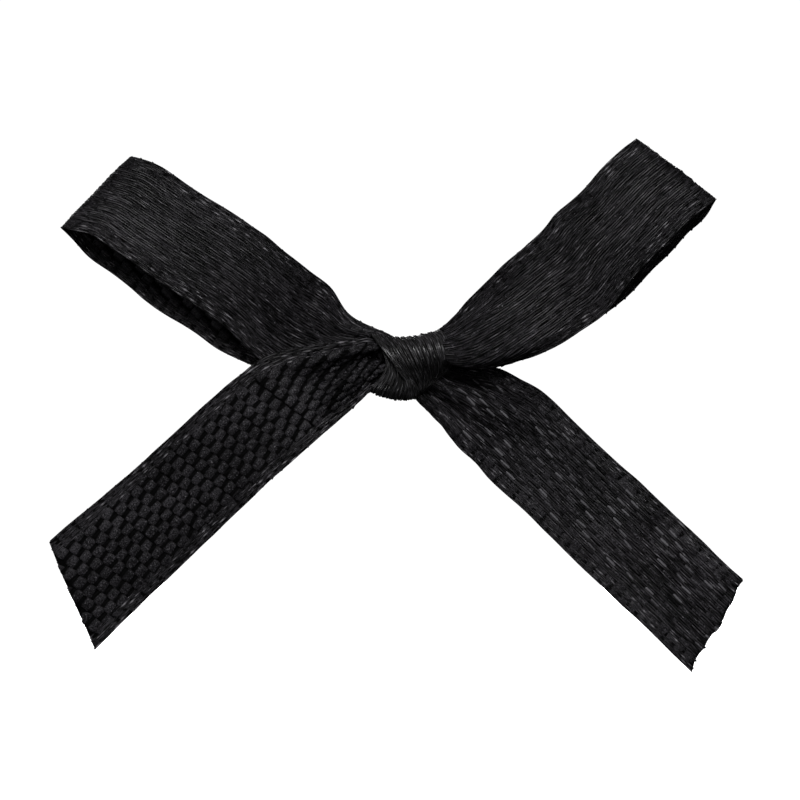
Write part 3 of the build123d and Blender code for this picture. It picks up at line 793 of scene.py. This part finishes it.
band = Sheet(A, B, W, [pleats(11, 0.15, 0.4)], 0.82, (0, 0, 1), 0.045, seed=53, n=460, rough=0.03, lift=lift)

ALL = {}
for nm, sh, sd in (("left_loop", left_loop, 1), ("right_loop", right_loop, 2), ("left_tail", left_tail, 3),
                   ("right_tail", right_tail, 4), ("knot_band", band, 5)):
    extra = {}
    if nm == "right_tail":
        extra["cut_hi"] = lambda v: 0.06 + 0.10 * np.sin(9.5 * np.asarray(v) + 0.6) + 0.05 * np.sin(23 * np.asarray(v))
    if nm == "left_tail":
        extra["sense"] = -1
        extra["wander"] = 0.55
        extra["cut_hi"] = lambda v: 0.04 * np.sin(7.0 * np.asarray(v) + 2.0)
    if nm == "knot_band":
        extra.update(weft_bulk=0, dip_by=0.25)
    if nm.endswith("_loop"):
        # the loops' inner faces get painted light: the reverse colour is lifted where the loop shades it
        extra.update(dash=0.30, dip_by=0.45, face_mark=(0.50, 0.85), density=4.75, inside=0.38)
    ALL[nm] = weave(nm, sh, KNOT_MATS if nm == "knot_band" else MATS, SEED + sd, **extra)

# core: what the runs go into
core = Builder()
cen = np.stack([np.linspace(-1.60, 1.50, 33), np.full(33, 1.62), np.linspace(-0.15, 0.25, 33)], axis=1)
prof = np.sqrt(np.clip(1 - np.linspace(-1, 1, 33) ** 6, 0.02, 1))
core.tube(cen, np.tile([0, 1.0, 0], (33, 1)), 1.10 * prof, 1.30 * prof, sides=48)
cen = np.stack([np.linspace(-0.75, 0.75, 33), np.full(33, 1.80), np.full(33, -0.55)], axis=1)
core.tube(cen, np.tile([0, 1.0, 0], (33, 1)), 1.30 * prof, 1.15 * prof, sides=48)
core_ob = core.object("knot_core_plug", MAT_WARP)

flex = {
    "left_loop": ((-2.95, 1.60), 1.70, (-0.857, 0.515)),
    "right_loop": ((2.85, 1.30), 2.85, (0.850, 0.527)),
    "left_tail": ((-3.30, -0.40), 3.22, (-0.957, -0.289)),
    "right_tail": ((1.95, -1.65), 1.70, (0.723, -0.691)),
}
stands_for = {
    "left_loop": ("left_loop_front_leaf", "left_loop_end_fold", "left_loop_back_leaf", "left_loop_neck"),
    "right_loop": ("right_loop_front_leaf", "right_loop_end_fold", "right_loop_back_leaf", "right_loop_neck"),
    "left_tail": ("left_tail", "left_tail_neck"),
    "right_tail": ("right_tail", "right_tail_neck"),
}
for nm, ((x, z), f, (dx, dz)) in flex.items():
    for ob in ALL[nm]:
        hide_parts(*stands_for[nm])
        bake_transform(ob)
for ob in ALL["knot_band"]:
    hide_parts("knot_band", "knot_back_pass")
    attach(ob, "knot")
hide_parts("knot_core")
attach(core_ob, "knot")

# ---------------------------------------------------------------- studio
scene = bpy.context.scene
scene.view_settings.view_transform = "Standard"
scene.view_settings.look = "None"

cam_d = bpy.data.cameras.new("camera")
cam = bpy.data.objects.new("camera", cam_d)
scene.collection.objects.link(cam)
cam_d.sensor_width = 36.0
cam_d.lens = 150.0
cam_d.clip_start, cam_d.clip_end = 0.005, 20.0
HALF = 800 * 0.0592 / 2 * 0.001
dist = HALF / (18.0 / 150.0)
cam.location = (-0.00071, -0.0025 - dist, -0.00219)
cam.rotation_euler = (math.radians(90), 0, 0)
scene.camera = cam

world = bpy.data.worlds.new("studio")
scene.world = world
world.use_nodes = True
wn = world.node_tree
wn.nodes.clear()
wo = wn.nodes.new("ShaderNodeOutputWorld")
bg_cam, bg_light, wmix = wn.nodes.new("ShaderNodeBackground"), wn.nodes.new("ShaderNodeBackground"), wn.nodes.new("ShaderNodeMixShader")
lp = wn.nodes.new("ShaderNodeLightPath")
bg_cam.inputs[0].default_value = (1, 1, 1, 1)
bg_cam.inputs[1].default_value = 1.05
bg_light.inputs[0].default_value = (0.98, 0.98, 1.0, 1)
bg_light.inputs[1].default_value = 0.03
wn.links.new(lp.outputs["Is Camera Ray"], wmix.inputs[0])
wn.links.new(bg_light.outputs[0], wmix.inputs[1])
wn.links.new(bg_cam.outputs[0], wmix.inputs[2])
wn.links.new(wmix.outputs[0], wo.inputs[0])


def softbox(name, loc, size, power, aim=(0, -0.0025, -0.002), colour=(1, 1, 1)):
    d = bpy.data.lights.new(name, "AREA")
    d.shape = "RECTANGLE"
    d.size, d.size_y = size
    d.energy = power
    d.color = colour
    o = bpy.data.objects.new(name, d)
    scene.collection.objects.link(o)
    o.location = loc
    from mathutils import Vector
    o.rotation_euler = (Vector(aim) - Vector(loc)).to_track_quat("-Z", "Y").to_euler()
    return o


softbox("key", (-0.01, -0.30, 0.19), (0.15, 0.11), 0.90)
softbox("left_strip", (-0.34, -0.12, 0.02), (0.08, 0.26), 0.12)
softbox("right_strip", (0.34, -0.16, 0.08), (0.08, 0.26), 0.12)
softbox("back_fill", (0.06, 0.36, 0.03), (0.22, 0.18), 0.85)
softbox("back_side", (-0.26, 0.24, 0.02), (0.10, 0.22), 0.3)
softbox("low_fill", (-0.24, -0.16, -0.20), (0.14, 0.10), 0.40)

fm, fnt, fbs = nodes_of("floor_white")
fbs.inputs["Base Color"].default_value = (0.9, 0.9, 0.9, 1)
fbs.inputs["Roughness"].default_value = 0.8
fbs.inputs["Emission Color"].default_value = (1, 1, 1, 1)
fbs.inputs["Emission Strength"].default_value = 1.05
me = bpy.data.meshes.new("floor")
R = 0.6
me.from_pydata([(-R, -R, -0.034), (R, -R, -0.034), (R, R, -0.034), (-R, R, -0.034)], [], [(0, 1, 2, 3)])
me.materials.append(fm)
floor = bpy.data.objects.new("floor", me)
scene.collection.objects.link(floor)
floor.visible_glossy = False
floor.visible_diffuse = False
